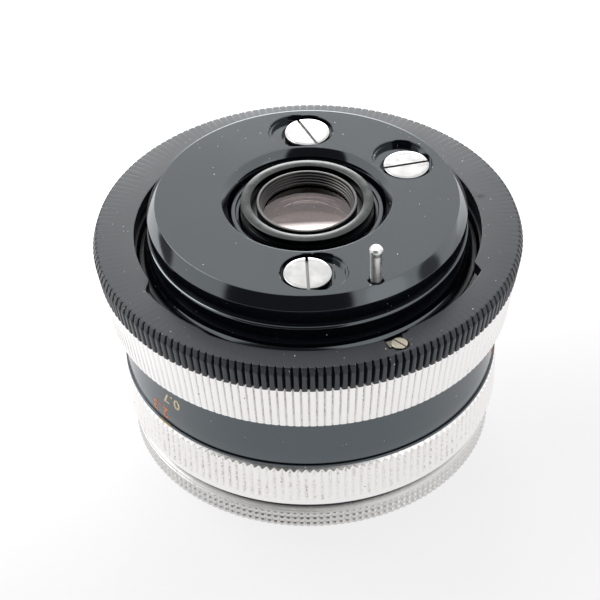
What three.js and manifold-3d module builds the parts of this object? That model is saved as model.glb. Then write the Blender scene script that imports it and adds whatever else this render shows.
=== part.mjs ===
// A 50 mm photographic lens standing on its front ring, with its rear mount facing up.
// Millimetres. The origin is the centre of the front ring's foot, +Z runs along the optical axis
// towards the rear mount, and -Y is the side that carries the index mark and the release pin.
import * as THREE from "three";
import { mergeVertices } from "three/addons/utils/BufferGeometryUtils.js";
import Module from "manifold-3d";

const wasm = await Module();
wasm.setup();

// Fits and facets
const GAP = 0.3;
const ROUND = 40;
const MEDIUM = 24;
const SMALL = 16;
const DEGREE = Math.PI / 180;

// Heights along the axis
const FRONT_RING_TOP = 3.6;
const APERTURE_RING_BOTTOM = 5.2;
const APERTURE_RING_TOP = 12.75;
const INDEX_RING_BOTTOM = 12.9;
const INDEX_RING_TOP = 13.35;
const SCALE_BARREL_BOTTOM = 13.5;
const GRIP_BOTTOM = 22.5;
const GRIP_TOP = 29.8;
const COVER_BOTTOM = 30.1;
const COVER_TOP = 34.3;
const SPIGOT_BOTTOM = 30.9;
const SPIGOT_TOP = 34.9;
const PLATE_BOTTOM = 35.2;
const PLATE_TOP = 39.4;
const PIN_TIP = 44.9;

// Radii of the outer shells
const COVER_RADIUS = 31;
const COVER_LOW_RADIUS = 30.5;
const GRIP_RADIUS = 30.45;
const GRIP_LOW_RADIUS = 29.4;
const BARREL_RADIUS = 27.5;
const INDEX_RADIUS = 27.75;
const APERTURE_RADIUS = 27.9;
const FRONT_RADIUS = 27;
const FILTER_RADIUS = 24.3;
const PLATE_RADIUS = 22.9;
const FLANGE_RADIUS = 23.84;

// The focusing helicoid: three nested tubes, the middle one fixed
const DRIVE_INNER = 24.8;
const DRIVE_OUTER = 26.1;
const SLEEVE_INNER = 23.2;
const SLEEVE_OUTER = 24.45;
const DRUM_INNER = 21.6;
const DRUM_OUTER = 22.8;
const DRIVE_LOW = 14;
const SLEEVE_LOW = 18.2;
const KEY_WIDTH = 2.4;

// Rear plate, its screws and the release pin
const PLATE_BORE = 11.35;
const SCREW_CIRCLE = 16.5;
const SCREW_HEAD = 3.45;
const SCREW_SHANK = 1;
const SCREW_TOP = 39.15;
const COUNTERBORE = 3.95;
const COUNTERBORE_SHIFT = 2;
const COUNTERBORE_FLOOR = 37.6;
const PLATE_SCREWS = [
  { name: "plate_screw_1", at: 89, slot: 114 },
  { name: "plate_screw_2", at: 28, slot: 12.5 },
  { name: "plate_screw_3", at: 269.5, slot: 91.5 },
];
const PIN_X = 9.1;
const PIN_Y = -18.55;
const PIN_RADIUS = 0.85;
const PIN_BOTTOM = 33.9;

// Focus stop, in the cover ring
const STOP_X = 11.95;
const STOP_Y = -25.98;
const STOP_RADIUS = 1.15;
const STOP_FLOOR = 32.8;

// Optics
const REAR_TUBE_INNER = 9.8;
const REAR_TUBE_OUTER = 10.9;
const REAR_TUBE_TOP = 37.4;
const WEB_BOTTOM = 24.6;
const WEB_TOP = 26.1;

// Diaphragm
const BLADE_COUNT = 5;
const BLADE_THICKNESS = 0.15;
const BLADE_PITCH = 0.3;
const BLADE_INNER = 8.2;
const BLADE_OUTER = 11.6;
const BLADE_SPAN = 104;
const BLADES_BOTTOM = 20.85;

// Finishes
const finish = (color, roughness, metalness, opacity = 1) => () =>
  new THREE.MeshStandardMaterial({ color, roughness, metalness, opacity, transparent: opacity < 1 });
const black = finish(0x2a2b2e, 0.45, 0.3);
const barrelBlack = finish(0x24262c, 0.25, 0.3);
const silver = finish(0xd8d7d2, 0.35, 0.9);
const nickel = finish(0xe6e2d8, 0.2, 1);
const brass = finish(0xb9a469, 0.4, 1);
const steel = finish(0x4c4c50, 0.4, 0.9);
const glass = finish(0xcbb8c4, 0.02, 0, 0.4);

// A solid of revolution about Z from a closed outline of [radius, height] points.
function turned(outline, segments = ROUND) {
  const area = outline.reduce((sum, [r, z], i) => {
    const [nextR, nextZ] = outline[(i + 1) % outline.length];
    return sum + r * nextZ - nextR * z;
  }, 0);
  const ordered = area > 0 ? [...outline] : [...outline].reverse();
  const points = [...ordered, ordered[0]].map(([r, z]) => new THREE.Vector2(r, z));
  return new THREE.LatheGeometry(points, segments).rotateX(Math.PI / 2);
}

// A straight tube, or a rod where the inner radius is 0.
function tube(inner, outer, bottom, top, segments = ROUND) {
  return turned([[inner, bottom], [outer, bottom], [outer, top], [inner, top]], segments);
}

function rod(radius, bottom, top, x, y, segments = SMALL) {
  return new THREE.CylinderGeometry(radius, radius, top - bottom, segments)
    .rotateX(Math.PI / 2)
    .translate(x, y, (bottom + top) / 2);
}

function prism(shape, bottom, top, curveSegments = 8) {
  const settings = { depth: top - bottom, bevelEnabled: false, curveSegments };
  return new THREE.ExtrudeGeometry(shape, settings).translate(0, 0, bottom);
}

// A piece of a ring between two radii and two angles in degrees.
function sector(inner, outer, from, to, bottom, top, curveSegments = 12) {
  const shape = new THREE.Shape();
  shape.absarc(0, 0, outer, from * DEGREE, to * DEGREE, false);
  shape.absarc(0, 0, inner, to * DEGREE, from * DEGREE, true);
  shape.closePath();
  return prism(shape, bottom, top, curveSegments);
}

function bar(width, depth, height, angle, x, y, z) {
  return new THREE.BoxGeometry(width, depth, height).rotateZ(angle * DEGREE).translate(x, y, z);
}

function toSolid(geometry) {
  const bare = geometry.clone();
  bare.deleteAttribute("normal");
  bare.deleteAttribute("uv");
  const merged = mergeVertices(bare, 1e-4);
  const vertProperties = merged.attributes.position.array;
  const triVerts = new Uint32Array(merged.index.array);
  return new wasm.Manifold(new wasm.Mesh({ numProp: 3, vertProperties, triVerts }));
}

function toGeometry(solid) {
  const mesh = solid.getMesh();
  const geometry = new THREE.BufferGeometry();
  geometry.setAttribute("position", new THREE.BufferAttribute(mesh.vertProperties, 3));
  geometry.setIndex(new THREE.BufferAttribute(mesh.triVerts, 1));
  geometry.computeVertexNormals();
  return geometry;
}

function cut(body, ...tools) {
  return toGeometry(tools.reduce((solid, tool) => solid.subtract(toSolid(tool)), toSolid(body)));
}

function join(body, ...parts) {
  return toGeometry(parts.reduce((solid, part) => solid.add(toSolid(part)), toSolid(body)));
}

function polar(radius, degrees) {
  return [radius * Math.cos(degrees * DEGREE), radius * Math.sin(degrees * DEGREE)];
}

const lens = new THREE.Group();

function add(name, geometry, material) {
  const mesh = new THREE.Mesh(geometry, material);
  mesh.name = name;
  lens.add(mesh);
}

// Rear plate, with an obround counterbore and a shank hole for each screw, and the release pin's hole
function rearPlate() {
  const ring = turned([
    [PLATE_BORE, PLATE_BOTTOM],
    [PLATE_RADIUS, PLATE_BOTTOM],
    [PLATE_RADIUS, 37.6],
    [21.7, PLATE_TOP],
    [12.2, PLATE_TOP],
    [PLATE_BORE, 38.4],
  ]);
  const cuts = PLATE_SCREWS.flatMap(({ at }) => {
    const [x, y] = polar(SCREW_CIRCLE, at);
    const [shiftX, shiftY] = polar(COUNTERBORE_SHIFT, at + 90);
    return [
      rod(COUNTERBORE, COUNTERBORE_FLOOR, PLATE_TOP + 1, x, y, 24),
      rod(COUNTERBORE, COUNTERBORE_FLOOR, PLATE_TOP + 1, x + shiftX, y + shiftY, 24),
      rod(SCREW_SHANK + GAP, PLATE_BOTTOM - 1, PLATE_TOP, x, y),
    ];
  });
  const pinHole = rod(1.1, PLATE_BOTTOM - 1, PLATE_TOP + 1, PIN_X, PIN_Y);
  const bushPocket = rod(2, PLATE_BOTTOM - 1, 37.2, PIN_X, PIN_Y);
  return cut(ring, ...cuts, pinHole, bushPocket);
}

function plateScrew({ at, slot }) {
  const [x, y] = polar(SCREW_CIRCLE, at);
  const head = turned(
    [
      [0, 32.4],
      [SCREW_SHANK, 32.4],
      [SCREW_SHANK, 37.9],
      [SCREW_HEAD, 37.9],
      [SCREW_HEAD, 38.95],
      [SCREW_HEAD - 0.2, SCREW_TOP],
      [0, SCREW_TOP],
    ],
    MEDIUM,
  ).translate(x, y, 0);
  return cut(head, bar(2 * SCREW_HEAD + 1, 0.7, 1, slot, x, y, SCREW_TOP));
}

// Spigot block under the plate, with tapped holes for the plate screws and a stepped hole for the pin
function mountSpigot() {
  const block = turned([
    [12, SPIGOT_BOTTOM],
    [23.4, SPIGOT_BOTTOM],
    [FLANGE_RADIUS, 31.15],
    [23.33, 31.5],
    [23.14, 34.6],
    [23.03, SPIGOT_TOP],
    [12, SPIGOT_TOP],
  ]);
  const hole = SCREW_SHANK + GAP;
  const tapped = PLATE_SCREWS.map(({ at }) => rod(hole, 32, SPIGOT_TOP + 1, ...polar(SCREW_CIRCLE, at)));
  const pocket = rod(2, 31.5, SPIGOT_TOP + 1, PIN_X, PIN_Y);
  const passage = rod(1.15, SPIGOT_BOTTOM - 1, 32, PIN_X, PIN_Y);
  return cut(block, ...tapped, pocket, passage);
}

// Release pin: a shaft with a flared tip and a collar that meets the plate from below
function releasePin() {
  return turned(
    [
      [0, PIN_BOTTOM],
      [PIN_RADIUS, PIN_BOTTOM],
      [PIN_RADIUS, 36.3],
      [1.5, 36.3],
      [1.5, 36.9],
      [PIN_RADIUS, 36.9],
      [PIN_RADIUS, 43.9],
      [0.98, 44.3],
      [0.98, 44.65],
      [0.8, PIN_TIP],
      [0.3, PIN_TIP],
      [0, 44.7],
    ],
    SMALL,
  ).translate(PIN_X, PIN_Y, 0);
}

// Cover ring of the focusing grip, its inner lip cut back over the travel of the focus stop
function coverRing() {
  const ring = turned([
    [25, 32.5],
    [28.9, 32.5],
    [28.9, COVER_BOTTOM],
    [COVER_LOW_RADIUS, COVER_BOTTOM],
    [COVER_RADIUS, 33.4],
    [30.36, COVER_TOP],
    [25, COVER_TOP],
  ]);
  const notch = sector(20, 26.6, 209, 336, 32, 36, 24);
  const screwPocket = rod(STOP_RADIUS + GAP, STOP_FLOOR, 36, STOP_X, STOP_Y);
  const blockPocket = bar(2.2, 2.6, 4, 0, 10.9, -25.9, STOP_FLOOR + 2);
  return cut(ring, notch, screwPocket, blockPocket);
}

// Stop block: a washer under the screw head, and a wedge beside it that meets the fixed stop
function stopBlock() {
  const washer = rod(STOP_RADIUS, STOP_FLOOR + GAP, STOP_FLOOR + 0.7, STOP_X, STOP_Y);
  const wedge = new THREE.Shape();
  wedge.moveTo(10.15, -25.7);
  wedge.lineTo(10.5, -26.9);
  wedge.lineTo(10.5, -25);
  const arm = bar(1.2, 1, 0.4, 0, 10.9, -26, STOP_FLOOR + 0.5);
  const shankHole = rod(0.75, STOP_FLOOR, STOP_FLOOR + 1, STOP_X, STOP_Y);
  return cut(join(washer, prism(wedge, STOP_FLOOR + GAP, 34.2), arm), shankHole);
}

function stopScrew() {
  const shank = STOP_FLOOR + GAP;
  const head = turned(
    [[0, shank], [0.45, shank], [0.45, 33.8], [STOP_RADIUS, 33.8], [STOP_RADIUS, 34.4], [0, 34.4]],
    SMALL,
  ).translate(STOP_X, STOP_Y, 0);
  return cut(head, bar(3, 0.28, 0.5, -43, STOP_X, STOP_Y, 34.45));
}

// Optical barrel: the helicoid drum with its key slot, the web and the rear tube in one piece
function opticsBarrel() {
  const body = turned([
    [REAR_TUBE_INNER, WEB_BOTTOM],
    [DRUM_INNER, WEB_BOTTOM],
    [DRUM_INNER, INDEX_RING_TOP + GAP],
    [DRUM_OUTER, INDEX_RING_TOP + GAP],
    [DRUM_OUTER, WEB_TOP],
    [REAR_TUBE_OUTER, WEB_TOP],
    [REAR_TUBE_OUTER, REAR_TUBE_TOP],
    [REAR_TUBE_INNER, REAR_TUBE_TOP],
  ]);
  return cut(body, bar(4, KEY_WIDTH + 0.8, 15, 0, -22.2, 0, 23.5));
}

// A slot round an arc, wide enough for the aperture lever's swing
const leverSlot = (inner, outer, bottom, top) => sector(inner, outer, 16, 96, bottom, top);

function frontHousing() {
  const wall = turned([
    [24, 3.9],
    [26.15, 3.9],
    [26.15, 4.9],
    [25.2, 4.9],
    [25.2, 12.6],
    [24, 12.6],
  ]);
  const ballHole = rod(0.95, -3, 3, 0, 0).rotateX(Math.PI / 2).translate(0, -24.6, 9);
  return cut(wall, leverSlot(23, 26, 7.6, 10.4), ballHole);
}

function diaphragmHousing() {
  const cup = turned(
    [
      [11.9, 14.8],
      [12.9, 14.8],
      [12.9, 18.4],
      [15.6, 18.4],
      [15.6, 24.3],
      [14.6, 24.3],
      [14.6, 19.3],
      [11.9, 19.3],
    ],
    MEDIUM,
  );
  return cut(cup, leverSlot(14, 17, 19.4, 20.8));
}

// Drive ring of the diaphragm, with an ear that reaches out to the lever
const driveRing = () =>
  join(tube(9, 14.2, 19.7, 20.4, MEDIUM), sector(14, 19.9, 18, 24, 19.7, 20.4, 2));

// Lever from the aperture ring: a radial pin through the housing wall, then a blade along the axis
const apertureLever = () =>
  join(sector(20.3, 21.2, 18, 24, 8.4, 20.6, 2), sector(21, 25.1, 19.5, 22.5, 8.4, 9.6, 2));

// One crescent blade, pivoted near its leading end
function blade(index) {
  const start = index * (360 / BLADE_COUNT);
  const mid = (BLADE_INNER + BLADE_OUTER) / 2;
  const half = (BLADE_OUTER - BLADE_INNER) / 2;
  const shape = new THREE.Shape();
  const end = start + BLADE_SPAN;
  shape.absarc(0, 0, BLADE_OUTER, start * DEGREE, end * DEGREE, false);
  shape.absarc(...polar(mid, end), half, end * DEGREE, (end + 180) * DEGREE, false);
  shape.absarc(0, 0, BLADE_INNER, end * DEGREE, start * DEGREE, true);
  shape.absarc(...polar(mid, start), half, (start + 180) * DEGREE, (start + 360) * DEGREE, false);
  const bottom = BLADES_BOTTOM + index * BLADE_PITCH;
  return prism(shape, bottom, bottom + BLADE_THICKNESS, 8);
}

// Optical elements, as outlines from the axis; curved faces are arcs given by their sagitta
function lensFace(radius, rim, sag, steps = 3) {
  return Array.from({ length: steps + 1 }, (_, i) => {
    const r = (radius * i) / steps;
    return [r, rim + sag * (1 - (r / radius) ** 2)];
  });
}

function element(radius, lowRim, lowSag, highRim, highSag) {
  const low = lensFace(radius, lowRim, lowSag);
  const high = lensFace(radius, highRim, highSag).reverse();
  return turned([...low, ...high], MEDIUM);
}

// Cells: short tubes with a seat for the glass
function frontCell() {
  return turned(
    [
      [8.6, 14.4],
      [11.6, 14.4],
      [11.6, 19.3],
      [8.9, 19.3],
      [8.9, 18.2],
      [9.7, 18.2],
      [9.7, 15],
      [8.6, 15],
    ],
    MEDIUM,
  );
}

function rearCell() {
  return turned(
    [
      [6.9, 29],
      [9.5, 29],
      [9.5, 37.2],
      [7.2, 37.4],
      [7.2, 38.9],
      [6.8, 38.9],
      [6.4, 37.3],
      [6.4, 36.9],
      [6.9, 36.8],
    ],
    MEDIUM,
  );
}

// Fixed mount
add("rear_plate", rearPlate(), black());
PLATE_SCREWS.forEach((screw) => add(screw.name, plateScrew(screw), nickel()));
add("mount_spigot", mountSpigot(), barrelBlack());
add("helicoid_sleeve", tube(SLEEVE_INNER, SLEEVE_OUTER, SLEEVE_LOW, SPIGOT_BOTTOM - GAP), brass());
add("helicoid_key", bar(1.6, KEY_WIDTH, 8, 0, -21.9, 0, 26.55), steel());
add("release_pin_spring", tube(1.2, 1.6, 31.7, 36.1, SMALL).translate(PIN_X, PIN_Y, 0), steel());
add("release_pin", releasePin(), nickel());

// Focusing ring
add("focus_cover_ring", coverRing(), black());
add(
  "focus_grip_ring",
  turned([[28.1, GRIP_BOTTOM], [GRIP_LOW_RADIUS, GRIP_BOTTOM], [GRIP_RADIUS, GRIP_TOP], [28.1, GRIP_TOP]]),
  silver(),
);
add("distance_scale_barrel", tube(26.5, BARREL_RADIUS, SCALE_BARREL_BOTTOM, 32.2), barrelBlack());
add("drive_helicoid", tube(DRIVE_INNER, DRIVE_OUTER, DRIVE_LOW, 31.4), brass());
add("focus_stop_block", stopBlock(), nickel());
add("focus_stop_screw", stopScrew(), nickel());

// Optical unit, which slides along the axis and carries the focusing ring
add("optics_barrel", opticsBarrel(), black());
add("index_ring", tube(DRUM_INNER, INDEX_RADIUS, INDEX_RING_BOTTOM, INDEX_RING_TOP), barrelBlack());
add("front_housing", frontHousing(), black());
add(
  "front_ring",
  turned([
    [FILTER_RADIUS, 0],
    [26.77, 0],
    [FRONT_RADIUS, 0.5],
    [FRONT_RADIUS, 3.2],
    [26.7, FRONT_RING_TOP],
    [FILTER_RADIUS, FRONT_RING_TOP],
  ]),
  silver(),
);
add(
  "front_trim_ring",
  turned([[23.7, 4.2], [23.7, 4.9], [10.9, 14], [10.1, 14], [22.9, 4.2]]),
  black(),
);
add("front_cell", frontCell(), black());
add("front_element", element(9.4, 16.1, -0.8, 17.4, -0.2), glass());
add("middle_element", element(8.5, 18.1, 0.4, 19.2, -0.3), glass());
add("diaphragm_housing", diaphragmHousing(), black());
add("diaphragm_base_plate", tube(8.4, 14.3, 22.7, 23.4, MEDIUM), black());
add("rear_cell", rearCell(), black());
add("rear_flint_element", element(6.6, 30, 0.4, 32, -0.6), glass());
add("rear_crown_element", element(6.6, 32.4, -0.5, 36.7, -0.6), glass());
add(
  "rear_retaining_ring",
  turned([[8.05, 37.7], [9.5, 37.7], [9.5, 39], [9.4, 39.1], [8.15, 39.1], [8.05, 39]], MEDIUM),
  steel(),
);
add("click_ball", new THREE.SphereGeometry(0.55, 10, 8).translate(0, -24.85, 9), steel());
add("click_spring", bar(5, 0.25, 1.4, 0, 0, -23.55, 9), steel());

// Aperture ring and what turns with it
add(
  "aperture_ring",
  turned([
    [25.5, APERTURE_RING_BOTTOM],
    [27.4, APERTURE_RING_BOTTOM],
    [APERTURE_RADIUS, 6.5],
    [APERTURE_RADIUS, 12.05],
    [27.2, APERTURE_RING_TOP],
    [25.5, APERTURE_RING_TOP],
  ]),
  silver(),
);
add("aperture_lever", apertureLever(), brass());
add("diaphragm_drive_ring", driveRing(), steel());
for (let index = 0; index < BLADE_COUNT; index += 1) {
  add("diaphragm_blade_" + (index + 1), blade(index), steel());
}

export default lens;
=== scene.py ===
"""A 50 mm camera lens standing on its front ring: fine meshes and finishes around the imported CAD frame."""
import math

import bmesh
import bpy
import numpy as np
from mathutils import Matrix, Vector


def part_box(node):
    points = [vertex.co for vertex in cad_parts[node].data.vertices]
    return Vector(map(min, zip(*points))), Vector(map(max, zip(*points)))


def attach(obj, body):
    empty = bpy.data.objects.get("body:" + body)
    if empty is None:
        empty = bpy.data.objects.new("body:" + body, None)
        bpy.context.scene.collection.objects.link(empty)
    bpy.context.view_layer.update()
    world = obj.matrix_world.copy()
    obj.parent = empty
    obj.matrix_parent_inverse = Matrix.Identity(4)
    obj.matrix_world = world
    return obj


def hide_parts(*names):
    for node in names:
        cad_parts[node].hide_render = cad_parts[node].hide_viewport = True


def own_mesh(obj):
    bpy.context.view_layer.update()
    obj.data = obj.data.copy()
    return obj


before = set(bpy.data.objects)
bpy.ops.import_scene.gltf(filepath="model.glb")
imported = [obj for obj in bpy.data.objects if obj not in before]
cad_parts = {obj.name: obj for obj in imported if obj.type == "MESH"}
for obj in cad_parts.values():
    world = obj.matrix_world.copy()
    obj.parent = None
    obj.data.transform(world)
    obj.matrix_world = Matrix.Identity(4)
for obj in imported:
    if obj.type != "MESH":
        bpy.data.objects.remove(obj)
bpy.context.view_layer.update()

MM = 0.001


# ---------------------------------------------------------------- places, from the frame, in millimetres
def low(node):
    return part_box(node)[0] / MM


def high(node):
    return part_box(node)[1] / MM


def centre(node):
    return (low(node) + high(node)) / 2


PLATE_TOP = high("rear_plate").z
PLATE_RADIUS = high("rear_plate").x
PLATE_SEAM = (low("rear_plate").z + high("mount_spigot").z) / 2
SPIGOT_LOW = low("mount_spigot").z
COVER_TOP = high("focus_cover_ring").z
COVER_RADIUS = high("focus_cover_ring").x
GRIP_SEAM = (high("focus_grip_ring").z + low("focus_cover_ring").z) / 2
GRIP_LOW = low("focus_grip_ring").z
GRIP_LOW_RADIUS = 29.4
BARREL_RADIUS = high("distance_scale_barrel").x
BARREL_LOW = low("distance_scale_barrel").z
INDEX_LOW = low("index_ring").z
INDEX_TOP = high("index_ring").z
INDEX_RADIUS = high("index_ring").x
APERTURE_LOW = low("aperture_ring").z
APERTURE_TOP = high("aperture_ring").z
APERTURE_RADIUS = high("aperture_ring").x
FRONT_TOP = high("front_ring").z
FRONT_RADIUS = high("front_ring").x
REAR_TUBE_TOP = high("optics_barrel").z
PIN_TIP = high("release_pin").z
PIN_LOW = low("release_pin").z

FLUTES = 176
FLUTE_PHASE = math.radians(-92.7)
KNURLS = 154
KNURL_PHASE = math.radians(-92.1)
BEADS = 174
BEAD_PHASE = math.radians(-92.8)


# ---------------------------------------------------------------- meshes
def rounded(corners, steps=3):
    """A closed outline of (r, z, radius) corners as an array of (r, z) points, each corner an arc."""
    out = []
    for i, (r, z, radius) in enumerate(corners):
        here = np.array([r, z], float)
        before = np.array(corners[i - 1][:2], float) - here
        after = np.array(corners[(i + 1) % len(corners)][:2], float) - here
        if radius <= 0:
            out.append(here)
            continue
        long_a, long_b = np.linalg.norm(before), np.linalg.norm(after)
        before, after = before / long_a, after / long_b
        half = math.acos(np.clip(before @ after, -1, 1)) / 2
        trim = min(radius / math.tan(half), 0.48 * long_a, 0.48 * long_b)
        radius = trim * math.tan(half)
        middle = here + (before + after) / np.linalg.norm(before + after) * radius / math.sin(half)
        start, end = here + before * trim - middle, here + after * trim - middle
        turn = math.pi - 2 * half
        for k in range(steps + 1):
            t = k / steps
            swept = math.sin((1 - t) * turn) * start + math.sin(t * turn) * end
            out.append(middle + swept / math.sin(turn))
    return np.array(out)


def refined(outline, longest, bottom=-1e9, top=1e9):
    """The outline with its spans between two heights cut into steps no longer than longest."""
    out = []
    for i, here in enumerate(outline):
        after = outline[(i + 1) % len(outline)]
        inside = bottom <= min(here[1], after[1]) and max(here[1], after[1]) <= top
        count = max(1, math.ceil(np.linalg.norm(after - here) / longest)) if inside else 1
        out += [here + (after - here) * k / count for k in range(count)]
    return np.array(out)


def anticlockwise(outline):
    r, z = outline[:, 0], outline[:, 1]
    area = np.sum(r * np.roll(z, -1) - np.roll(r, -1) * z)
    return outline if area > 0 else outline[::-1]


def finish_mesh(name, mesh, sharp=38):
    mesh.polygons.foreach_set("use_smooth", np.ones(len(mesh.polygons), bool))
    mesh.set_sharp_from_angle(angle=math.radians(sharp))
    piece = bpy.data.objects.new(name, mesh)
    bpy.context.scene.collection.objects.link(piece)
    return piece


def lathe(name, outline, columns=256, shape=None, sharp=38):
    """A turned piece. shape(r, z, angle) may return new radii and a groove depth from 0 to 1."""
    outline = anticlockwise(np.asarray(outline, float))
    rows = len(outline)
    angle = np.arange(columns) * 2 * math.pi / columns
    r = np.repeat(outline[:, :1], columns, 1)
    z = np.repeat(outline[:, 1:], columns, 1)
    angles = np.repeat(angle[None, :], rows, 0)
    groove = np.zeros_like(r)
    if shape:
        r, groove = shape(r, z, angles)
    points = np.stack([r * np.cos(angles), r * np.sin(angles), z], -1).reshape(-1, 3) * MM
    i, j = np.meshgrid(np.arange(rows), np.arange(columns), indexing="ij")
    up, on = (i + 1) % rows, (j + 1) % columns
    here, above = i * columns, up * columns
    quads = np.stack([here + j, here + on, above + on, above + j], -1).reshape(-1, 4)
    mesh = bpy.data.meshes.new(name)
    mesh.from_pydata(points.tolist(), [], quads.tolist())
    depths = mesh.attributes.new("groove", "FLOAT", "POINT")
    depths.data.foreach_set("value", groove.ravel().astype(np.float32))
    if outline[:, 0].min() < 1e-6:
        solid = bmesh.new()
        solid.from_mesh(mesh)
        bmesh.ops.remove_doubles(solid, verts=solid.verts, dist=1e-8)
        bmesh.ops.dissolve_degenerate(solid, edges=solid.edges, dist=1e-9)
        solid.to_mesh(mesh)
        solid.free()
    return finish_mesh(name, mesh, sharp)


def prism(name, sections, sharp=38):
    """A closed solid through a stack of same-length loops of (x, y, z) points in millimetres."""
    count = len(sections[0])
    points = np.array(sections, float).reshape(-1, 3) * MM
    faces = [tuple(range(count))[::-1]]
    for s in range(len(sections) - 1):
        a, b = s * count, (s + 1) * count
        faces += [(a + k, a + (k + 1) % count, b + (k + 1) % count, b + k) for k in range(count)]
    faces.append(tuple(range((len(sections) - 1) * count, len(sections) * count)))
    mesh = bpy.data.meshes.new(name)
    mesh.from_pydata(points.tolist(), [], faces)
    return finish_mesh(name, mesh, sharp)


def unit(vectors):
    return vectors / np.linalg.norm(vectors, axis=1)[:, None]


def normal(vectors):
    return np.stack([vectors[:, 1], -vectors[:, 0]], 1)


def loop(outline, z, grow=0.0):
    """An outline of (x, y) points at a height, each point pushed out along its corner's bisector."""
    flat = np.array(outline, float)
    before, after = flat - np.roll(flat, 1, 0), np.roll(flat, -1, 0) - flat
    out = unit(normal(unit(before)) + normal(unit(after)))
    return [(x, y, z) for x, y in flat + out * grow]


def circle(x, y, radius, count=64):
    turn = np.arange(count) * 2 * math.pi / count
    return np.stack([x + radius * np.cos(turn), y + radius * np.sin(turn)], 1)


def evaluated(piece, name):
    bpy.context.view_layer.update()
    source = piece.evaluated_get(bpy.context.evaluated_depsgraph_get())
    mesh = bpy.data.meshes.new_from_object(source)
    mesh.name = name
    piece.modifiers.clear()
    piece.data = mesh


def carve(piece, *cutters, sharp=38):
    for cutter in cutters:
        cut = piece.modifiers.new("cut", "BOOLEAN")
        cut.operation = "DIFFERENCE"
        cut.solver = "EXACT"
        cut.object = cutter
    evaluated(piece, piece.name)
    for cutter in cutters:
        bpy.data.objects.remove(cutter)
    mesh = piece.data
    mesh.polygons.foreach_set("use_smooth", np.ones(len(mesh.polygons), bool))
    mesh.set_sharp_from_angle(angle=math.radians(sharp))
    return piece


def keep(piece, body, slot, material, *nodes):
    piece.data.materials.clear()
    piece.data.materials.append(material)
    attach(piece, body)
    if nodes:
        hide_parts(*nodes)
    return piece


# ---------------------------------------------------------------- materials
class Nodes:
    """A material's node tree, with short calls for the nodes that the finishes share."""

    def __init__(self, name):
        self.material = bpy.data.materials.new(name)
        self.material.use_nodes = True
        self.tree = self.material.node_tree
        self.shader = self.tree.nodes["Principled BSDF"]

    def add(self, kind, **inputs):
        node = self.tree.nodes.new(kind)
        for key, value in inputs.items():
            self.put(node, key, value)
        return node

    def put(self, node, key, value):
        socket = node.inputs[int(key[1:])] if key[0] == "i" and key[1:].isdigit() else node.inputs[key]
        if isinstance(value, bpy.types.NodeSocket):
            self.tree.links.new(value, socket)
        else:
            socket.default_value = value

    def math(self, operation, a, b=0.5, clamp=False):
        node = self.add("ShaderNodeMath", i0=a, i1=b)
        node.operation = operation
        node.use_clamp = clamp
        return node.outputs[0]

    def place(self, scale=(1, 1, 1)):
        where = self.add("ShaderNodeTexCoord")
        spread = self.add("ShaderNodeMapping")
        self.tree.links.new(where.outputs["Object"], spread.inputs["Vector"])
        spread.inputs["Scale"].default_value = scale
        return spread.outputs[0]

    def noise(self, scale, detail=4, stretch=(1, 1, 1)):
        node = self.add("ShaderNodeTexNoise", Vector=self.place(stretch), Scale=scale, Detail=detail)
        return node.outputs[0]

    def specks(self, scale, size, share=1.0):
        """1 inside small round specks, 0 between; share thins them out."""
        cells = self.add("ShaderNodeTexVoronoi", Vector=self.place(), Scale=scale)
        inside = self.math("LESS_THAN", cells.outputs["Distance"], size)
        picked = self.add("ShaderNodeSeparateColor", Color=cells.outputs["Color"])
        return self.math("MULTIPLY", inside, self.math("LESS_THAN", picked.outputs[0], share))

    def mapped(self, value, low, high, to_low, to_high):
        node = self.add("ShaderNodeMapRange", i0=value, i1=low, i2=high, i3=to_low, i4=to_high)
        return node.outputs[0]

    def mix(self, factor, a, b):
        node = self.add("ShaderNodeMix")
        node.data_type = "RGBA"
        for index, value in ((0, factor), (6, a), (7, b)):
            if isinstance(value, bpy.types.NodeSocket):
                self.tree.links.new(value, node.inputs[index])
            else:
                node.inputs[index].default_value = value
        return node.outputs[2]

    def bump(self, height, strength, distance):
        node = self.add("ShaderNodeBump", Height=height, Strength=strength, Distance=distance * MM)
        self.put(self.shader, "Normal", node.outputs[0])

    def set(self, **values):
        for key, value in values.items():
            self.put(self.shader, key.replace("_", " "), value)
        return self


def black_finish(name, tone, roughness, tint, dust=0.5, ior=2.05, grain=0.35):
    """Black anodising: dark body, clean reflection, faint lathe grain, dust specks and rubbed spots."""
    made = Nodes(name)
    patches = made.noise(60, 5)
    fine = made.noise(900, 2)
    share = 0.10 * dust
    specks = made.math("ADD", made.specks(900, 0.085, share), made.specks(1700, 0.10, share), True)
    rubbed = made.mapped(made.noise(260, 6), 0.70, 0.78, 0.0, 0.35 * dust)
    dark = tuple(tone * c for c in (0.9, 1.0, 1.5)) + (1,)
    worn = min(1, tone * 6 + 0.03)
    colour = made.mix(rubbed, dark, (worn, worn, worn, 1))
    made.set(Base_Color=made.mix(specks, colour, (0.62, 0.60, 0.55, 1)), IOR=ior, Metallic=0.0)
    rough = made.math("ADD", made.mapped(patches, 0.3, 0.7, roughness * 0.85, roughness * 1.2), rubbed)
    made.put(made.shader, "Roughness", made.math("MAXIMUM", rough, made.math("MULTIPLY", specks, 0.8)))
    made.put(made.shader, "Specular Tint", tint + (1,))
    made.bump(fine, grain, 0.01)
    return made.material


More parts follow.
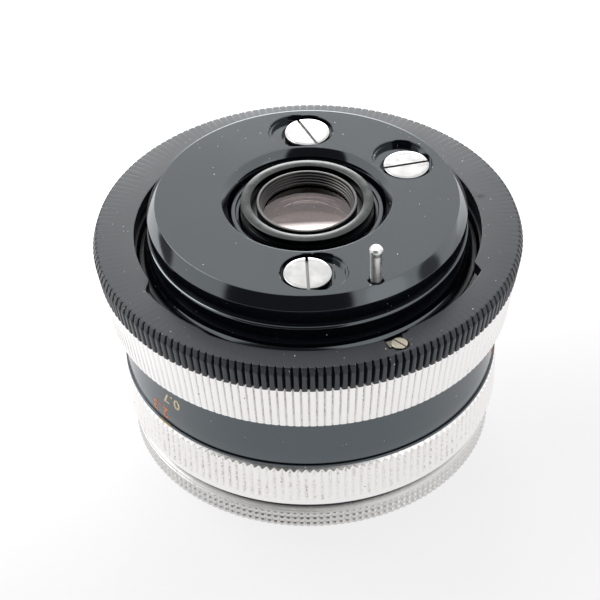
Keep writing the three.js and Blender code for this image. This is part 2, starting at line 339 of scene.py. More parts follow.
def silver_finish(name, tone, roughness, dirt_and_shade, speck):
    """Clear anodised aluminium: soft metal, brown dirt and painted shade in the bottoms of its grooves, and
    stray specks.
    """
    made = Nodes(name)
    groove = made.add("ShaderNodeAttribute")
    groove.attribute_name = "groove"
    depth = groove.outputs["Fac"]
    floor = made.mapped(depth, 0.30, 0.80, 0.0, 1.0)
    blotch = made.mapped(made.noise(5200, 3, (1, 1, 0.6)), 0.50, 0.60, 0.0, 1.0)
    broad = made.mapped(made.noise(240, 3), 0.35, 0.60, 0.25, 1.0)
    spotted = made.math("MULTIPLY", floor, blotch)
    # Painted shade: the groove bottoms turn brown with depth, standing for real dirt and also for the shade
    # in the valleys.
    groove_dirt_and_shade = made.math("MULTIPLY", spotted, made.math("MULTIPLY", broad, dirt_and_shade), True)
    stray = made.specks(1100, 0.14, speck)
    warm = tuple(tone * c for c in (0.985, 0.975, 0.955)) + (1,)
    base = made.mix(made.noise(420, 4), warm, (tone, tone, tone * 0.99, 1))
    dull = made.mix(groove_dirt_and_shade, base, (0.50, 0.41, 0.29, 1))
    made.set(Base_Color=made.mix(stray, dull, (0.26, 0.17, 0.09, 1)))
    specks_dirt_and_shade = made.math("MAXIMUM", groove_dirt_and_shade, stray)
    made.put(made.shader, "Metallic", made.mapped(specks_dirt_and_shade, 0.0, 1.0, 1.0, 0.1))
    rough = made.mapped(made.noise(700, 3), 0.3, 0.7, roughness * 0.85, roughness * 1.15)
    made.put(made.shader, "Roughness", made.math("ADD", rough, made.math("MULTIPLY", specks_dirt_and_shade, 0.35), True))
    made.bump(made.noise(2600, 2), 0.25, 0.012)
    return made.material


def metal_finish(name, colour, roughness, grain=0.2, stain=(0.4, 0.33, 0.25), share=0.05, darkened_below=None):
    """Bare or plated metal: fine grain, uneven sheen, a few stains, and a fade to near black below a height
    in a slot.
    """
    made = Nodes(name)
    spots = made.specks(1300, 0.10, share)
    stained = made.math("MAXIMUM", spots, made.mapped(made.noise(330, 6), 0.72, 0.80, 0.0, 0.5))
    soft = made.mix(made.noise(500, 4), tuple(0.93 * c for c in colour) + (1,), colour + (1,))
    if darkened_below:
        height = made.add("ShaderNodeSeparateXYZ", Vector=made.place()).outputs[2]
        # Darker towards the bottom: below the given height the colour fades to near black.
        darkening = made.mapped(height, (darkened_below - 0.12) * MM, darkened_below * MM, 0.6, 0.0)
        soft = made.mix(darkening, soft, (0.02, 0.02, 0.022, 1))
    made.set(Base_Color=made.mix(stained, soft, stain + (1,)), Metallic=1.0)
    rough = made.mapped(made.noise(650, 4), 0.3, 0.7, roughness * 0.7, roughness * 1.3)
    made.put(made.shader, "Roughness", made.math("ADD", rough, made.math("MULTIPLY", stained, 0.3), True))
    made.bump(made.noise(2400, 2), grain, 0.01)
    return made.material


def paint_finish(name, colour):
    made = Nodes(name)
    worn = made.mapped(made.noise(2200, 4), 0.38, 0.62, 0.72, 1.0)
    made.set(Base_Color=made.mix(worn, (0.05, 0.05, 0.05, 1), colour + (1,)), Roughness=0.55)
    made.bump(made.noise(1800, 3), 0.4, 0.01)
    return made.material


def glass_finish(name, colour, tint, ior=1.62):
    """Polished coated glass, with a trace of dust."""
    made = Nodes(name)
    dust = made.specks(900, 0.12, 0.05)
    made.set(Base_Color=made.mix(dust, colour + (1,), (0.7, 0.7, 0.68, 1)), IOR=ior)
    made.put(made.shader, "Roughness", made.mapped(dust, 0.0, 1.0, 0.01, 0.5))
    made.put(made.shader, "Transmission Weight", made.mapped(dust, 0.0, 1.0, 1.0, 0.3))
    made.put(made.shader, "Specular Tint", tint + (1,))
    return made.material


BLUE_TINT = (0.86, 0.95, 1.0)
satin_black = black_finish("satin_black", 0.004, 0.10, BLUE_TINT, dust=0.5, grain=0.15)
fluted_black = black_finish("fluted_black", 0.011, 0.38, (0.94, 0.98, 1.0), dust=1.2, ior=1.55, grain=0.2)
gloss_black = black_finish("gloss_black", 0.004, 0.10, BLUE_TINT, dust=0.5, grain=0.06)
barrel_black = black_finish("barrel_black", 0.004, 0.16, (0.80, 0.93, 1.0), dust=0.35, grain=0.05)
inner_black = black_finish("inner_black", 0.010, 0.42, (1.0, 1.0, 1.0), dust=1.4, ior=1.6)
thread_black = black_finish("thread_black", 0.006, 0.30, (1.0, 0.97, 0.92), dust=0.8, ior=1.75)
silver_flutes = silver_finish("silver_flutes", 0.94, 0.36, 0.75, 0.03)
# The grip's aluminium with its tone lowered from 0.94 to 0.67: painted shade for the shadowed floor that the
# front ring reflects.
shaded_silver_front = silver_finish("shaded_silver_front", 0.67, 0.38, 0.6, 0.03)
turned_nickel = metal_finish("turned_nickel", (0.56, 0.555, 0.552), 0.18, darkened_below=39.0)
pin_nickel = metal_finish("pin_nickel", (0.76, 0.76, 0.75), 0.30)
pale_nickel = metal_finish("pale_nickel", (0.46, 0.42, 0.34), 0.30, share=0.15, darkened_below=34.3)
turned_brass = metal_finish("turned_brass", (0.70, 0.57, 0.32), 0.35)
blued_steel = metal_finish("blued_steel", (0.12, 0.12, 0.13), 0.35, stain=(0.2, 0.14, 0.1))
grey_anodised = metal_finish("grey_anodised", (0.07, 0.073, 0.072), 0.20, stain=(0.1, 0.1, 0.1))
cream_paint = paint_finish("cream_paint", (0.80, 0.66, 0.40))
orange_paint = paint_finish("orange_paint", (0.80, 0.22, 0.06))
yellow_paint = paint_finish("yellow_paint", (0.75, 0.42, 0.06))
rear_glass = glass_finish("rear_glass", (0.60, 0.50, 0.46), (1.0, 0.87, 0.86), ior=2.0)
front_glass = glass_finish("front_glass", (0.98, 0.96, 0.99), (0.86, 0.80, 1.0))


# ---------------------------------------------------------------- tooth and edge forms
FLUTE_HIGH_DEPTH = 0.8
FLUTE_LOW_DEPTH = 0.15
FLUTE_TOP = 33.4
FLUTE_CROWN = 0.12
FLUTE_WALL = 0.45
TIP_CROWN = 0.06
COLUMNS_PER_TOOTH = 12
COLUMNS_PER_BEAD = 10
KNURL_DEPTH = 0.36
KNURL_BOTTOM = 6.4
BEAD_ROWS = (2.42, 1.42, 0.45)
BEAD_HALF = 0.5
BEAD_HEIGHT = 0.36
# The cover ring's cut-back lip: where each step starts and ends, in degrees, and how far it goes back
LIP_RADIUS = 26
LIP_START, LIP_END, LIP_CUT = (-153.7, -148), (-24.9, -20.8), 1.5
DEEP_START, DEEP_END, DEEP_CUT = (-126, -119), (-61.5, -59), 0.52


def in_tooth(angles, count, phase):
    """How far each angle lies from its tooth's tip: 0 at the tip, 1 in the valley."""
    turn = (angles - phase) / (2 * math.pi) * count - 0.5
    return 2 * np.abs(turn - np.round(turn))


def smooth(value, start, end):
    t = np.clip((value - start) / (end - start), 0, 1)
    return t * t * (3 - 2 * t)


def flute(z, angles):
    """How far the flutes cut in at a height, and where each angle lies in its flute."""
    share = np.clip((z - GRIP_LOW) / (FLUTE_TOP - GRIP_LOW), 0, 1)
    deepest = FLUTE_LOW_DEPTH + (FLUTE_HIGH_DEPTH - FLUTE_LOW_DEPTH) * share
    across = in_tooth(angles, FLUTES, FLUTE_PHASE)
    profile = FLUTE_CROWN * across ** 2 + (1 - FLUTE_CROWN) * smooth(across, FLUTE_WALL, 1.0)
    depth = np.maximum(FLUTE_HIGH_DEPTH * profile - FLUTE_HIGH_DEPTH + deepest, TIP_CROWN * across ** 2)
    return depth, depth / deepest


def cone(z):
    """The outer radius of the grip, one taper over the black and the silver part."""
    return GRIP_LOW_RADIUS + (COVER_RADIUS - GRIP_LOW_RADIUS) * (z - GRIP_LOW) / (FLUTE_TOP - GRIP_LOW)


def cover_flutes(r, z, angles):
    """The cover ring: flutes round the outside, and the cut-back inner lip."""
    depth, valley = flute(z, angles)
    outside = r > 29.5
    limit = cone(np.minimum(z, FLUTE_TOP)) - depth
    degrees = np.degrees(angles)
    degrees = np.where(degrees > 100, degrees - 360, degrees)
    notch = smooth(degrees, *LIP_START) * (1 - smooth(degrees, *LIP_END))
    deep = smooth(degrees, *DEEP_START) * (1 - smooth(degrees, *DEEP_END))
    lip = np.where(r < LIP_RADIUS, r + LIP_CUT * notch + DEEP_CUT * deep, r)
    return np.where(outside, np.minimum(r, limit), lip), np.where(outside, valley, 0)


def grip_flutes(r, z, angles):
    depth, valley = flute(z, angles)
    outside = r > 29
    return np.where(outside, r - depth, r), np.where(outside, valley, 0)


def aperture_knurl(r, z, angles):
    valley = in_tooth(angles, KNURLS, KNURL_PHASE)
    floor = APERTURE_RADIUS - KNURL_DEPTH * valley + np.clip(KNURL_BOTTOM - z, 0, 1)
    outside = r > 27
    groove = np.where(outside & (z > KNURL_BOTTOM), valley ** 1.5, 0)
    return np.where(outside, np.minimum(r, floor), r), groove


def front_beads(r, z, angles):
    """Three rows of pillow-shaped beads, one above the other."""
    tall = np.zeros_like(r)
    along = in_tooth(angles, BEADS, BEAD_PHASE)
    for level in BEAD_ROWS:
        up = np.clip(np.abs(z - level) / BEAD_HALF, 0, 1)
        tall = np.maximum(tall, np.sqrt((1 - along ** 2) * (1 - up ** 2)))
    outside = (r > 26) & (z < BEAD_ROWS[0] + BEAD_HALF)
    return np.where(outside, r - BEAD_HEIGHT * (1 - tall), r), np.where(outside, 1 - tall, 0)


# ---------------------------------------------------------------- rear plate, screws and spigot
SCREWS = ("plate_screw_1", "plate_screw_2", "plate_screw_3")
SLOT_ANGLES = (114, 12.5, 91.5)
PLATE_BORE = 11.35
HEAD_RADIUS = 3.36
HEAD_LOW = 37.9
RECESS_RADIUS = 3.84
RECESS_FLOOR = 37.75
STEP_RADIUS = 3.95
STEP_FLOOR = 39.0
STEP_INNER_RADIUS = 3.6
STEP_INNER_FLOOR = 38.5
STEP_SHIFTS = (1.76, 2.0, 1.65)
SHANK_RADIUS = 1.0
SHANK_PLAY = 0.1
SHANK_HOLE = SHANK_RADIUS + SHANK_PLAY
BELOW_PLATE, ABOVE_PLATE = 34, 40
PIN_HOLE_RADIUS = 1.07
SPRING_WELL_RADIUS = 1.9
EDGE = 0.1


def cutter(name, x, y, radius, bottom, top=PLATE_TOP, flare=EDGE, count=96):
    """A round cutter that opens a small chamfer at the surface."""
    rim = circle(x, y, radius, count)
    wide = circle(x, y, radius + flare, count)
    over = circle(x, y, radius + 2 * flare, count)
    stack = ((rim, bottom), (rim, top - flare), (wide, top), (over, top + flare), (over, top + 2))
    return prism(name, [[(px, py, z) for px, py in ring] for ring, z in stack])


def blind_cutter(name, x, y, radius, bottom, top, count=48):
    """A plain round cutter between two heights."""
    return prism(name, [[(px, py, z) for px, py in circle(x, y, radius, count)] for z in (bottom, top)])


def slot_cutter(name, x, y, angle, length, width, bottom, top):
    turn = math.radians(angle)
    along = np.array([math.cos(turn), math.sin(turn)]) * length / 2
    across = np.array([-math.sin(turn), math.cos(turn)]) * width / 2
    corners = [-along - across, along - across, along + across, -along + across]
    return prism(name, [[(x + c[0], y + c[1], z) for c in corners] for z in (bottom, top)])


pin = centre("release_pin")
plate_outline = rounded([
    (PLATE_BORE, PLATE_SEAM + 0.01, 0),
    (PLATE_RADIUS, PLATE_SEAM + 0.01, 0.05),
    (PLATE_RADIUS, 37.6, 0.12),
    (21.7, PLATE_TOP, 0.12),
    (21.5, PLATE_TOP, 0),
    (12.4, PLATE_TOP, 0),
    (12.2, PLATE_TOP, 0.03),
    (PLATE_BORE, 38.4, 0.06),
])
plate = lathe("plate_body", plate_outline, 384)
plate_cuts = []
for screw, shift in zip(SCREWS, STEP_SHIFTS):
    at = centre(screw)
    side = Vector((-at.y, at.x, 0)).normalized() * shift
    x, y = at.x + side.x, at.y + side.y
    plate_cuts += [
        cutter(screw + "_step", x, y, STEP_RADIUS, STEP_FLOOR),
        blind_cutter(screw + "_seat", x, y, STEP_INNER_RADIUS, STEP_INNER_FLOOR, ABOVE_PLATE, 96),
        cutter(screw + "_recess", at.x, at.y, RECESS_RADIUS, RECESS_FLOOR),
        blind_cutter(screw + "_shank", at.x, at.y, SHANK_HOLE, BELOW_PLATE, RECESS_FLOOR + 0.2),
    ]
plate_cuts.append(cutter("pin_bore", pin.x, pin.y, PIN_HOLE_RADIUS, BELOW_PLATE, flare=0.16, count=48))
plate_cuts.append(blind_cutter("pin_bush", pin.x, pin.y, SPRING_WELL_RADIUS, 33, 37.0))
carve(plate, *plate_cuts, sharp=25)
keep(plate, "mount", "black_anodised", satin_black, "rear_plate")

for screw, angle in zip(SCREWS, SLOT_ANGLES):
    at = centre(screw)
    outline = rounded([
        (0, 33, 0), (SHANK_RADIUS, 33, 0), (SHANK_RADIUS, HEAD_LOW, 0), (HEAD_RADIUS, HEAD_LOW, 0.05),
        (HEAD_RADIUS, high(screw).z, 0.13), (0, high(screw).z, 0),
    ])
    head = lathe(screw + "_head", refined(outline, 0.4, 39, 40), 128)
    carve(head, slot_cutter("slot", 0, 0, angle, 8, 0.42, 38.6, 41))
    head.location = Vector((at.x, at.y, 0)) * MM
    keep(head, "mount", "bright_screw", turned_nickel, screw)

spigot_outline = rounded([
    (12, SPIGOT_LOW, 0), (23.6, SPIGOT_LOW, 0), (23.84, 31.15, 0.06), (23.33, 31.5, 0.05),
    (23.14, 34.6, 0.05), (23.03, 34.88, 0.04), (22.6, PLATE_SEAM - 0.01, 0), (12, PLATE_SEAM - 0.01, 0),
])
spigot = lathe("spigot_body", spigot_outline, 384)
spigot_cuts = [blind_cutter("tapped", centre(s).x, centre(s).y, SHANK_HOLE, 32, 36) for s in SCREWS]
spigot_cuts.append(blind_cutter("spring_well", pin.x, pin.y, SPRING_WELL_RADIUS, 31.5, 36))
spigot_cuts.append(blind_cutter("pin_passage", pin.x, pin.y, 1.1, 29, 32))
carve(spigot, *spigot_cuts, sharp=25)
keep(spigot, "mount", "gloss_black", gloss_black, "mount_spigot")

pin_outline = rounded([
    (0, PIN_LOW, 0), (0.85, PIN_LOW, 0.1), (0.85, 36.3, 0), (1.5, 36.3, 0.05), (1.5, 36.9, 0.05),
    (0.85, 36.9, 0), (0.85, 43.7, 0.3), (0.94, 44.3, 0.2), (0.94, 44.6, 0.1), (0.7, PIN_TIP, 0.1),
    (0, PIN_TIP, 0),
])
shaft = lathe("release_pin_shaft", refined(pin_outline, 0.6, 36, 45), 64)
shaft.location = Vector((pin.x, pin.y, 0)) * MM
keep(shaft, "release_pin", "bright_screw", pin_nickel, "release_pin")


def coil(name, x, y, radius, wire, bottom, top, turns, sides=10):
    steps = turns * 28
    sections = []
    for k in range(steps + 1):
        turn = k / steps * turns * 2 * math.pi
        out = np.array([math.cos(turn), math.sin(turn), 0])
        at = np.array([x, y, bottom + wire + (top - bottom - 2 * wire) * k / steps]) + out * radius
        sections.append([
            tuple(at + out * wire * math.cos(a) + np.array([0, 0, wire * math.sin(a)]))
            for a in (2 * math.pi * s / sides for s in range(sides))
        ])
    return prism(name, sections)


spring_low, spring_high = low("release_pin_spring").z, high("release_pin_spring").z
spring = coil("pin_spring_coil", pin.x, pin.y, 1.38, 0.18, spring_low, spring_high, 6)
keep(spring, "mount", "dark_steel", blued_steel, "release_pin_spring")
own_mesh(spring)


# ---------------------------------------------------------------- focusing ring
STOP = centre("focus_stop_screw")
STOP_FLOOR = 32.8
cover_outline = rounded([
    (25, 32.5, 0), (28.5, 32.5, 0), (28.5, GRIP_SEAM + 0.01, 0),
    (cone(GRIP_SEAM) + 0.03, GRIP_SEAM + 0.01, 0.08), (COVER_RADIUS, 33.0, 0.3),
    (30.55, COVER_TOP - 0.02, 0.08), (30.2, COVER_TOP, 0), (25.25, COVER_TOP, 0), (25, COVER_TOP, 0.06),
])
cover_steps = refined(cover_outline, 0.14, 32.6, 34.285)
cover = lathe("cover_ring", cover_steps, FLUTES * COLUMNS_PER_TOOTH, cover_flutes, sharp=50)
wedge_pocket = ((9.7, -24.9), (10.55, -27.15), (12.6, -26.5), (12.4, -23.8))
pocket = [
    cutter("stop_pocket", STOP.x, STOP.y, 1.3, STOP_FLOOR, top=COVER_TOP, flare=0.05, count=48),
    prism("wedge_pocket", [[(x, y, z) for x, y in wedge_pocket] for z in (STOP_FLOOR, 36)]),
]
carve(cover, *pocket, sharp=50)
keep(cover, "focus", "black_anodised", fluted_black, "focus_cover_ring")

grip_outline = rounded([
    (28.1, GRIP_LOW, 0), (GRIP_LOW_RADIUS, GRIP_LOW, 0.1), (cone(GRIP_SEAM) - 0.06, GRIP_SEAM - 0.01, 0.03),
    (28.1, GRIP_SEAM - 0.01, 0),
])
grip_steps = refined(grip_outline, 0.8, GRIP_LOW + 0.1, GRIP_SEAM)
grip = lathe("grip_ring", grip_steps, FLUTES * COLUMNS_PER_TOOTH, grip_flutes, sharp=60)
keep(grip, "focus", "satin_aluminium", silver_flutes, "focus_grip_ring")

barrel_outline = rounded([
    (26.5, BARREL_LOW - 0.08, 0), (BARREL_RADIUS, BARREL_LOW - 0.08, 0.1),
    (BARREL_RADIUS, 32.2, 0.1), (26.5, 32.2, 0),
])
barrel = lathe("scale_barrel", refined(barrel_outline, 2), 384)
keep(barrel, "focus", "gloss_black", barrel_black, "distance_scale_barrel")

stop_outline = rounded([
    (0, STOP_FLOOR + 0.3, 0), (0.45, STOP_FLOOR + 0.3, 0), (0.45, 33.7, 0), (1.15, 33.7, 0.03),
    (1.15, 34.42, 0.1), (0, 34.42, 0),
])
stop = lathe("stop_screw", refined(stop_outline, 0.3, 34, 35), 96)
carve(stop, slot_cutter("slot", 0, 0, -43, 4, 0.2, 34.2, 36))
stop.location = Vector((STOP.x, STOP.y, 0)) * MM
keep(stop, "focus", "pale_nickel", pale_nickel, "focus_stop_screw")

wedge = [(10.05, -25.55), (10.7, -26.85), (11.1, -26.2), (10.95, -25.2)]
stack = ((STOP_FLOOR + 0.3, 0.0), (34.12, 0.0), (34.2, -0.06))
block = prism("stop_block", [loop(wedge, z, grow) for z, grow in stack])
keep(block, "focus", "pale_nickel", pale_nickel, "focus_stop_block")

# ---------------------------------------------------------------- distance figures, with the front upwards
NEAR_FOCUS = 0.7
FOCAL_LENGTH = 50
INDEX_ANGLE = -139.7
FOCUS_SWEEP = 230
INFINITY = "\u221e"
METRES = ("0.7", "0.8", "1", "1.2", "1.5", "2", "3", "5", "10", INFINITY)
FEET_PER_METRE = 3.281
SHORTEST_WHOLE_FEET = 1.2
FEET_Z = 15.1
METRES_Z = 18.2
FEET_SHIFT = 2.3
METRES_SHIFT = 3.4
FIGURE_SIZE = 2.5
FEET_SIZE = FIGURE_SIZE * 1.08


def figure(name, text, degrees, z, size, paint):
    curve = bpy.data.curves.new(name, "FONT")
    curve.body = text
    curve.size = size
    curve.align_x = "CENTER"
    curve.align_y = "CENTER"
    curve.space_character = 1.15
    curve.extrude = 0.03
    curve.offset = 0.035
    curve.resolution_u = 6
    draft = bpy.data.objects.new(name + "_draft", curve)
    bpy.context.scene.collection.objects.link(draft)
    bpy.context.view_layer.update()
    mesh = bpy.data.meshes.new_from_object(draft.evaluated_get(bpy.context.evaluated_depsgraph_get()))
    bpy.data.objects.remove(draft)
    solid = bmesh.new()
    solid.from_mesh(mesh)
    bmesh.ops.remove_doubles(solid, verts=solid.verts, dist=1e-4)
    for step in range(-8, 9):
        every = solid.verts[:] + solid.edges[:] + solid.faces[:]
        bmesh.ops.bisect_plane(solid, geom=every, plane_co=(step * 0.35, 0, 0), plane_no=(1, 0, 0))
    for v in solid.verts:
        turn = math.radians(degrees) - v.co.x / BARREL_RADIUS
        out = BARREL_RADIUS + v.co.z
        v.co = Vector((out * math.cos(turn), out * math.sin(turn), z - v.co.y)) * MM
    bmesh.ops.recalc_face_normals(solid, faces=solid.faces)
    solid.to_mesh(mesh)
    solid.free()
    mesh.name = name
    return keep(finish_mesh(name, mesh), "focus", "gloss_black", paint)


def extension(metres):
    return FOCAL_LENGTH ** 2 / (metres * 1000 - 2 * FOCAL_LENGTH)


def in_feet(metres):
    """The foot scale's figure, with a decimal at the near end."""
    if metres == math.inf:
        return INFINITY
    return f"{metres * FEET_PER_METRE:.{1 if metres < SHORTEST_WHOLE_FEET else 0}f}"


for number, text in enumerate(METRES):
    metres = math.inf if text == INFINITY else float(text)
    turned_by = FOCUS_SWEEP * (1 - extension(metres) / extension(NEAR_FOCUS))
    at_metres, at_feet = INDEX_ANGLE + METRES_SHIFT - turned_by, INDEX_ANGLE - FEET_SHIFT - turned_by
    figure(f"metre_figure_{number}", text, at_metres, METRES_Z, FIGURE_SIZE, cream_paint)
    figure(f"foot_figure_{number}", in_feet(metres), at_feet, FEET_Z, FEET_SIZE, orange_paint)


# ---------------------------------------------------------------- optical unit
def turned(node, corners, body, slot, material, columns=256, shape=None, finer=None, sharp=38):
    outline = rounded(corners)
    if finer:
        outline = refined(outline, *finer)
    piece = lathe(node + "_turned", outline, columns, shape, sharp=sharp)
    return keep(piece, body, slot, material, node)


BARREL_KEY_WIDTH = 3.2
INDEX_INSET = 0.05
INDEX_DROP = 0.06
optics = lathe("optics_body", rounded([
    (9.8, 24.6, 0), (21.6, 24.6, 0), (21.6, 13.62, 0), (22.8, 13.62, 0), (22.8, 26.1, 0.1), (10.9, 26.1, 0),
    (10.9, REAR_TUBE_TOP, 0.1), (10.3, REAR_TUBE_TOP, 0.06), (10.2, 37.1, 0.04), (9.8, 37.05, 0.04),
]), 256)
carve(optics, slot_cutter("key_slot", -22.2, 0, 0, 4, BARREL_KEY_WIDTH, 16, 31), sharp=30)
keep(optics, "optics", "black_anodised", satin_black, "optics_barrel")

turned("index_ring", [
    (22.8, INDEX_LOW, 0), (INDEX_RADIUS - INDEX_INSET, INDEX_LOW, 0.05),
    (INDEX_RADIUS - INDEX_INSET, INDEX_TOP - INDEX_DROP, 0.08), (22.8, INDEX_TOP - INDEX_DROP, 0),
], "optics", "gloss_black", barrel_black, 384)
turned("front_housing", [
    (24, 3.62, 0), (26.15, 3.62, 0), (26.15, 5.16, 0.05), (25.2, 5.16, 0), (25.2, 12.6, 0), (24, 12.6, 0),
], "optics", "black_anodised", inner_black)
turned("front_ring", [
    (24.3, 0, 0.1), (24.7, 0, 0), (26.72, 0, 0.1), (FRONT_RADIUS, 0.3, 0.1), (FRONT_RADIUS, 2.93, 0.04),
    (26.9, 2.97, 0.03), (26.84, 3.2, 0.05), (26.2, FRONT_TOP, 0), (24.3, FRONT_TOP, 0),
], "optics", "satin_aluminium", shaded_silver_front,
    BEADS * COLUMNS_PER_BEAD, front_beads, (0.08, 0.02, 2.96), sharp=60)

RIDGES = 16
ridges = [
    (10.1 + (12.8 * k + side) / RIDGES, 14 - (9.8 * k) / RIDGES - lift, 0)
    for k in range(1, RIDGES) for side, lift in ((-0.3, 0), (0.3, 0.12))
]
turned("front_trim_ring", [
    (23.7, 4.2, 0.05), (23.7, 4.9, 0), (10.9, 14, 0), (10.1, 14, 0.08), *ridges, (22.9, 4.2, 0.08),
], "optics", "black_anodised", satin_black)
turned("front_cell", [
    (8.6, 14.4, 0.1), (11.6, 14.4, 0.05), (11.6, 19.3, 0.05), (8.9, 19.3, 0.05), (8.9, 18.2, 0),
    (9.7, 18.2, 0), (9.7, 15, 0), (8.6, 15, 0.05),
], "optics", "black_anodised", inner_black)
turned("diaphragm_base_plate", [
    (8.4, 22.7, 0.08), (14.3, 22.7, 0.05), (14.3, 23.4, 0.05), (8.4, 23.4, 0.08),
], "optics", "black_anodised", inner_black)
turned("rear_cell", [
    (6.9, 29, 0.05), (9.5, 29, 0.05), (9.5, 37.2, 0), (7.2, 37.4, 0), (7.2, 38.9, 0.08), (6.8, 38.9, 0.08),
    (6.72, 38.55, 0), (6.62, 38.5, 0), (6.6, 38.15, 0), (6.5, 38.1, 0), (6.48, 37.75, 0), (6.38, 37.7, 0),
    (6.36, 37.35, 0), (6.26, 37.3, 0), (6.24, 36.95, 0), (6.9, 36.85, 0),
], "optics", "black_anodised", thread_black)
turned("rear_retaining_ring", [
    (8.05, 37.7, 0), (9.5, 37.7, 0), (9.5, 39.08, 0.1), (8.05, 39.08, 0.1),
], "optics", "grey_anodised", grey_anodised)

MARK_HALF = 2.65
mark_turns = np.radians(np.linspace(INDEX_ANGLE - MARK_HALF, INDEX_ANGLE + MARK_HALF, 13))
mark_arc = [(r * math.cos(t), r * math.sin(t)) for r, order in (
    (INDEX_RADIUS - 0.3, mark_turns[::-1]), (INDEX_RADIUS, mark_turns)) for t in order]
mark = prism("index_mark", [[(x, y, z) for x, y in mark_arc] for z in (INDEX_LOW + 0.05, INDEX_LOW + 0.27)])
keep(mark, "optics", "gloss_black", yellow_paint)


def glass_outline(radius, low_rim, low_sag, high_rim, high_sag, steps=24):
    r = np.linspace(0, radius, steps)
    low_face = np.stack([r, low_rim + low_sag * (1 - (r / radius) ** 2)], 1)
    high_face = np.stack([r, high_rim + high_sag * (1 - (r / radius) ** 2)], 1)
    return np.concatenate([low_face, high_face[::-1]])


for node, form, material in (
    ("front_element", (9.4, 16.1, -0.4, 16.9, 0.5), front_glass),
    ("middle_element", (8.5, 18.1, 0.4, 19.0, 0.5), front_glass),
    ("rear_flint_element", (6.6, 30.0, 0.4, 32.0, -0.6), front_glass),
    ("rear_crown_element", (6.6, 32.4, -0.5, 36.72, -0.6), rear_glass),
):
    piece = lathe(node + "_ground", glass_outline(*form), 128, sharp=30)
    keep(piece, "optics", "coated_glass", material, node)

# ---------------------------------------------------------------- aperture ring
turned("aperture_ring", [
    (25.5, APERTURE_LOW - 0.02, 0), (27.4, APERTURE_LOW - 0.02, 0.1), (27.42, 6.15, 0.1),
    (APERTURE_RADIUS, 6.5, 0.1), (APERTURE_RADIUS, 12.05, 0.04), (27.2, APERTURE_TOP, 0.06),
    (25.5, APERTURE_TOP, 0),
], "aperture", "satin_aluminium", silver_flutes,
    KNURLS * COLUMNS_PER_TOOTH, aperture_knurl, (0.1, 11.9, 12.8), sharp=50)

# ---------------------------------------------------------------- helicoid sleeves, round the spigot
turned("helicoid_sleeve", [
    (23.2, 18.2, 0), (24.45, 18.2, 0), (24.45, 30.6, 0.1), (23.2, 30.6, 0.1),
], "mount", "brass", inner_black)
turned("drive_helicoid", [
    (24.8, 14, 0), (26.1, 14, 0), (26.1, 31.4, 0.1), (24.8, 31.4, 0.1),
], "focus", "brass", inner_black)

# ---------------------------------------------------------------- finishes of the CAD nodes that stay
KEPT = {
    "helicoid_key": blued_steel,
    "click_ball": blued_steel,
    "click_spring": blued_steel,
    "diaphragm_housing": inner_black,
    "diaphragm_drive_ring": blued_steel,
    "aperture_lever": turned_brass,
    **{f"diaphragm_blade_{number}": blued_steel for number in range(1, 6)},
}
for node, material in KEPT.items():
    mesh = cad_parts[node].data
    mesh.materials.clear()
    mesh.materials.append(material)

# ---------------------------------------------------------------- floor, light and camera
FLOOR_SIZE = 6.0
floor_mesh = bpy.data.meshes.new("floor")
half = FLOOR_SIZE / 2
floor_corners = [(-half, -half, 0), (half, -half, 0), (half, half, 0), (-half, half, 0)]
floor_mesh.from_pydata(floor_corners, [], [(0, 1, 2, 3)])
floor = bpy.data.objects.new("floor", floor_mesh)
bpy.context.scene.collection.objects.link(floor)
paper = Nodes("paper")
pale, paler = (0.115, 0.115, 0.117, 1), (0.125, 0.125, 0.127, 1)
paper.set(Base_Color=paper.mix(paper.noise(300, 3), pale, paler), Roughness=0.9)
# Painted light: the floor glows, and its glow rises from 0.78 to 1.6 toward the left-back as a painted pool
# of light from that side.
paper.set(Emission_Color=(1.0, 0.99, 1.0, 1))
across = paper.add("ShaderNodeVectorMath", i0=paper.place(), i1=(-0.45, 0.9, 0))
across.operation = "DOT_PRODUCT"
painted_light_gradient = paper.add("ShaderNodeMapRange", i0=across.outputs["Value"], i1=-0.03, i2=0.12, i3=0.78, i4=1.6)
painted_light_gradient.interpolation_type = "SMOOTHSTEP"
paper.put(paper.shader, "Emission Strength", painted_light_gradient.outputs[0])
paper.bump(paper.noise(1500, 3), 0.05, 0.02)
floor_mesh.materials.append(paper.material)

SKY_LEVEL = 1.15
# Azimuth, elevation, inner and outer radius in degrees, and the light inside: dark room and bright boxes
PATCHES = (
    (-104.5, 24, 38, 43, 0.045),
    (160, 1, 8, 13, 0.18),
    (-4, 11, 7, 12, 0.22),
    (-37, 21, 10, 17, 1.6),
    (91, 21, 8, 13, 9.0),
)


def towards(azimuth, elevation):
    a, e = math.radians(azimuth), math.radians(elevation)
    return Vector((math.cos(a) * math.cos(e), math.sin(a) * math.cos(e), math.sin(e)))


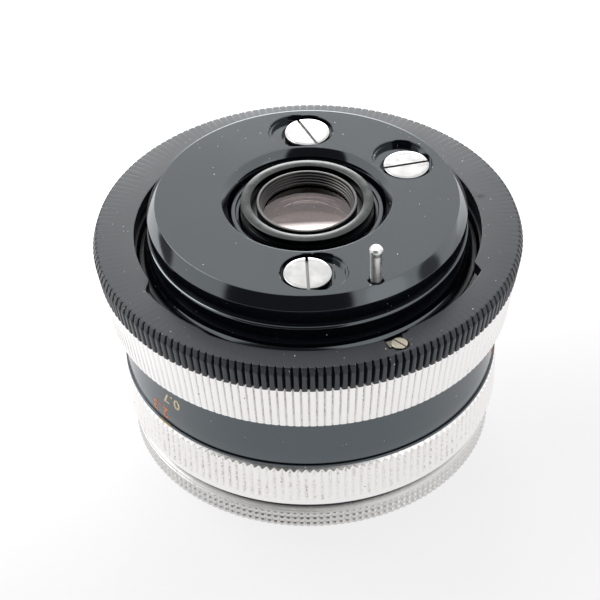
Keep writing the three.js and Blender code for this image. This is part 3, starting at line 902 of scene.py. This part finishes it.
world = bpy.data.worlds.new("studio")
bpy.context.scene.world = world
world.use_nodes = True
tree = world.node_tree
background = tree.nodes["Background"]
background.inputs["Color"].default_value = (1.0, 1.0, 1.0, 1)
where = tree.nodes.new("ShaderNodeTexCoord")
level = None
for azimuth, elevation, inner, outer, inside in PATCHES:
    facing = tree.nodes.new("ShaderNodeVectorMath")
    facing.operation = "DOT_PRODUCT"
    facing.inputs[1].default_value = towards(azimuth, elevation)
    tree.links.new(where.outputs["Generated"], facing.inputs[0])
    blend = tree.nodes.new("ShaderNodeMapRange")
    blend.interpolation_type = "SMOOTHSTEP"
    blend.inputs["From Min"].default_value = math.cos(math.radians(outer))
    blend.inputs["From Max"].default_value = math.cos(math.radians(inner))
    blend.inputs["To Min"].default_value = SKY_LEVEL
    blend.inputs["To Max"].default_value = inside
    tree.links.new(facing.outputs["Value"], blend.inputs["Value"])
    if level is not None:
        tree.links.new(level, blend.inputs["To Min"])
    level = blend.outputs[0]
tree.links.new(level, background.inputs["Strength"])


def softbox(name, place, target, size, power):
    light = bpy.data.lights.new(name, "AREA")
    light.shape = "RECTANGLE"
    light.size, light.size_y = size
    light.energy = power
    lamp = bpy.data.objects.new(name, light)
    bpy.context.scene.collection.objects.link(lamp)
    lamp.location = place
    lamp.rotation_euler = (Vector(target) - Vector(place)).to_track_quat("-Z", "Y").to_euler()


softbox("key_softbox", (-0.55, 0.35, 0.75), (0, 0, 0.02), (0.5, 0.5), 3.0)

camera = bpy.data.objects.new("camera", bpy.data.cameras.new("camera"))
bpy.context.scene.collection.objects.link(camera)
bpy.context.scene.camera = camera
CAMERA_PLACE = Vector((0, -0.228375, 0.213129))
CAMERA_AIM = Vector((-0.00137, 0.00044, 0.0200))
CAMERA_ROLL = math.radians(-1.5555)
camera.data.sensor_width = 36
camera.data.lens = 120.85
camera.data.clip_start = 0.01
camera.location = CAMERA_PLACE
aimed = (CAMERA_AIM - CAMERA_PLACE).to_track_quat("-Z", "Y").to_matrix()
camera.rotation_euler = (aimed @ Matrix.Rotation(CAMERA_ROLL, 3, "Z")).to_euler()
bpy.context.scene.view_settings.view_transform = "Standard"
